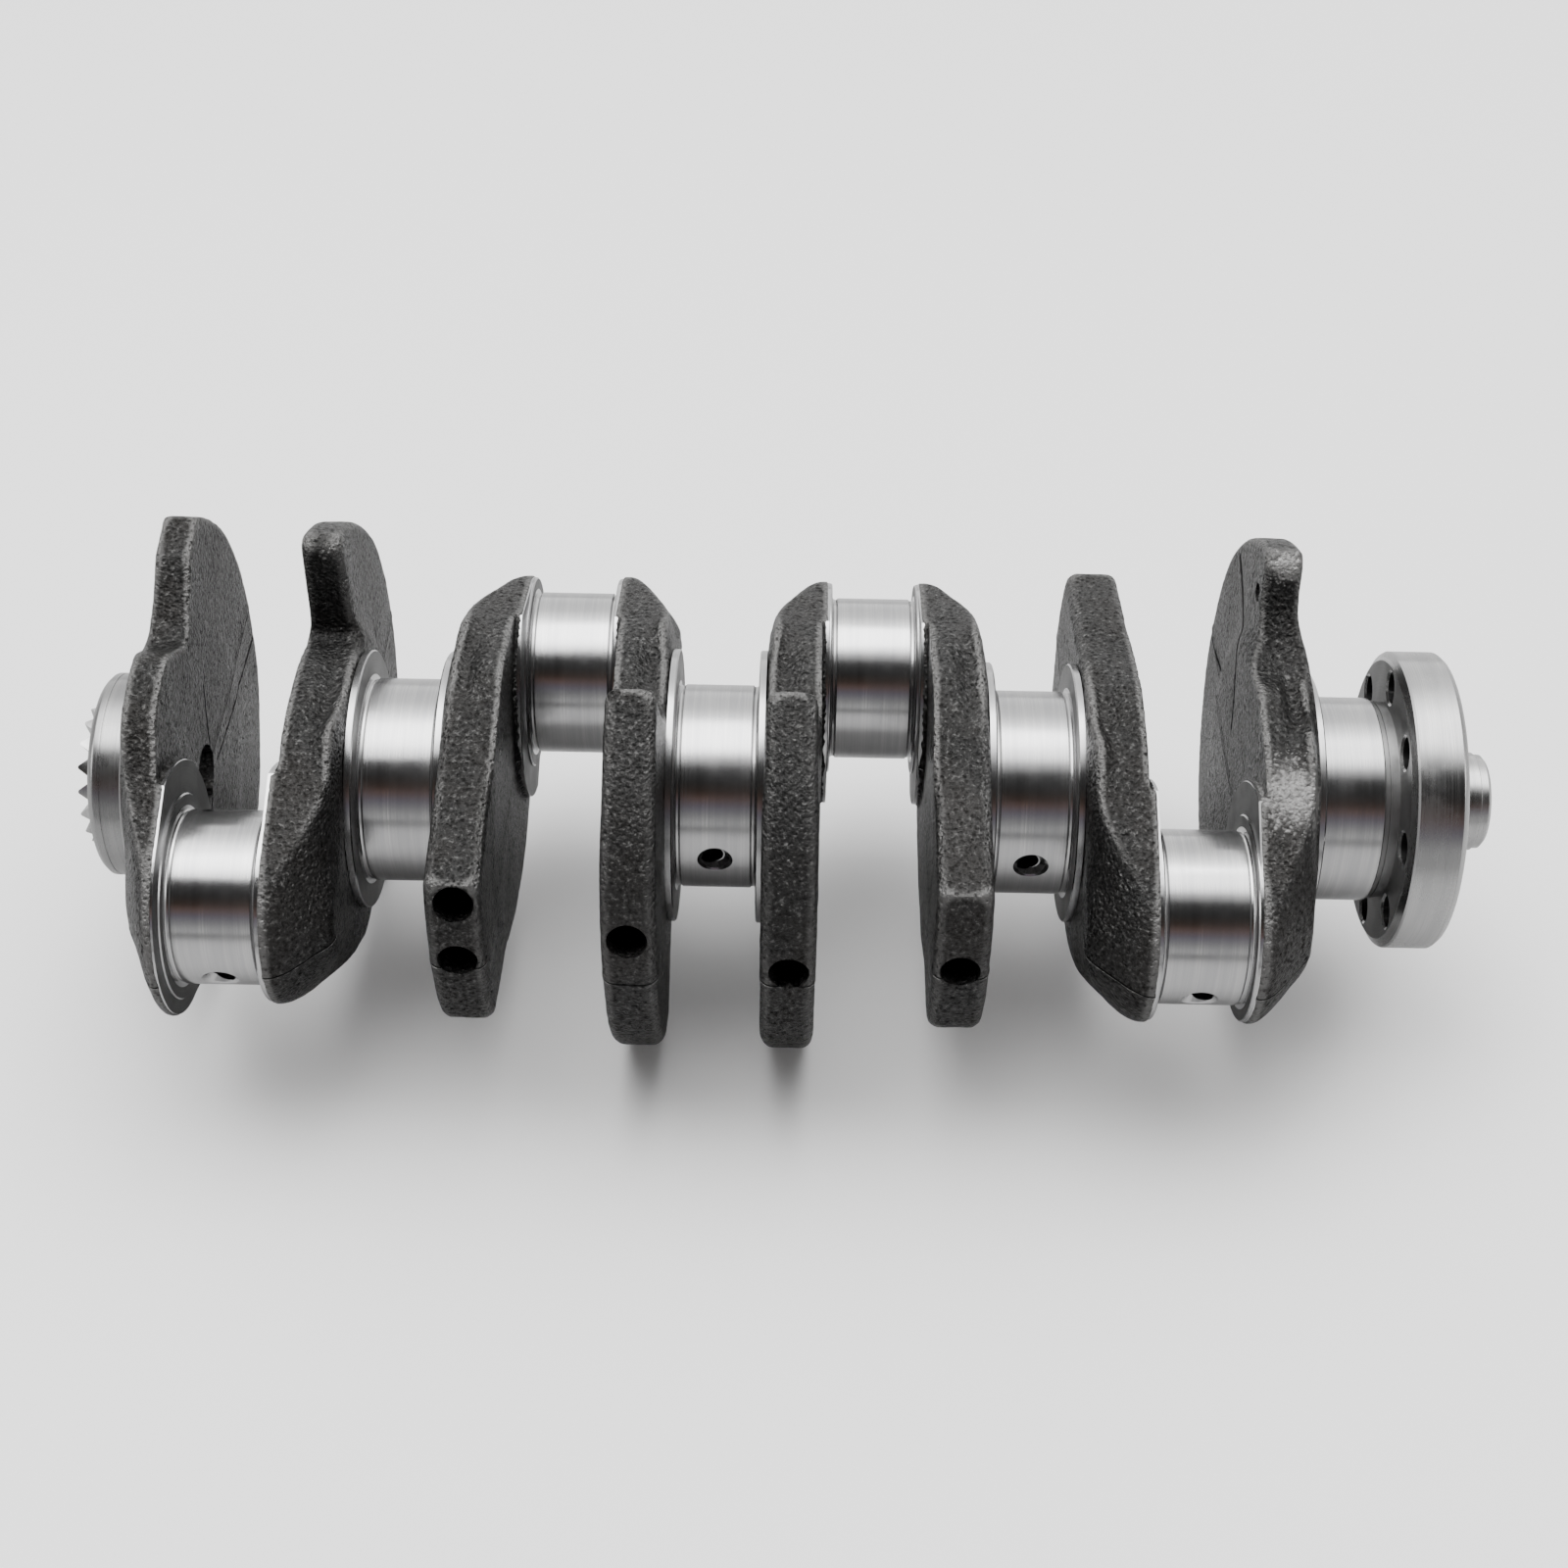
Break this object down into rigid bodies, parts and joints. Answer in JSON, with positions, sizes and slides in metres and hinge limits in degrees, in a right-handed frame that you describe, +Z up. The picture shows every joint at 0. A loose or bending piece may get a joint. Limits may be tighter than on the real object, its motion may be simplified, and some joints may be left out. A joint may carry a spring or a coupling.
{
  "type": "crankshaft",
  "caption": "Forged steel crankshaft of an inline engine: ground main journals and crankpins, counterweighted webs, a toothed nose and a bolted rear flange.",
  "frame": {"origin": "on the main axis, halfway along the shaft's overall length", "axes": "+X along the main axis towards the flywheel flange, +Z up, the throws in the XY plane with the outer crankpins towards -Y"},
  "size_m": [0.3964, 0.1548, 0.1372],
  "materials": {
    "forged_web": "as-forged and shot-blasted steel, dark grey, granular, half-gloss",
    "ground_journal": "ground and polished round the axis, bright",
    "ground_crankpin": "ground and polished round the pin axis, bright",
    "turned_end": "fine turned steel, satin"
  },
  "bodies": {
    "root": {"front_serration": "turned_end", "main_journal_1": "ground_journal", "main_journal_2": "ground_journal", "main_journal_3": "ground_journal", "main_journal_4": "ground_journal", "main_journal_5": "ground_journal", "crankpin_1": "ground_crankpin", "crankpin_2": "ground_crankpin", "crankpin_3": "ground_crankpin", "crankpin_4": "ground_crankpin", "web_1": "forged_web", "web_2": "forged_web", "web_3": "forged_web", "web_4": "forged_web", "web_5": "forged_web", "web_6": "forged_web", "web_7": "forged_web", "web_8": "forged_web", "rear_flange": "turned_end", "pilot_spigot": "turned_end"}
  },
  "joints": []
}
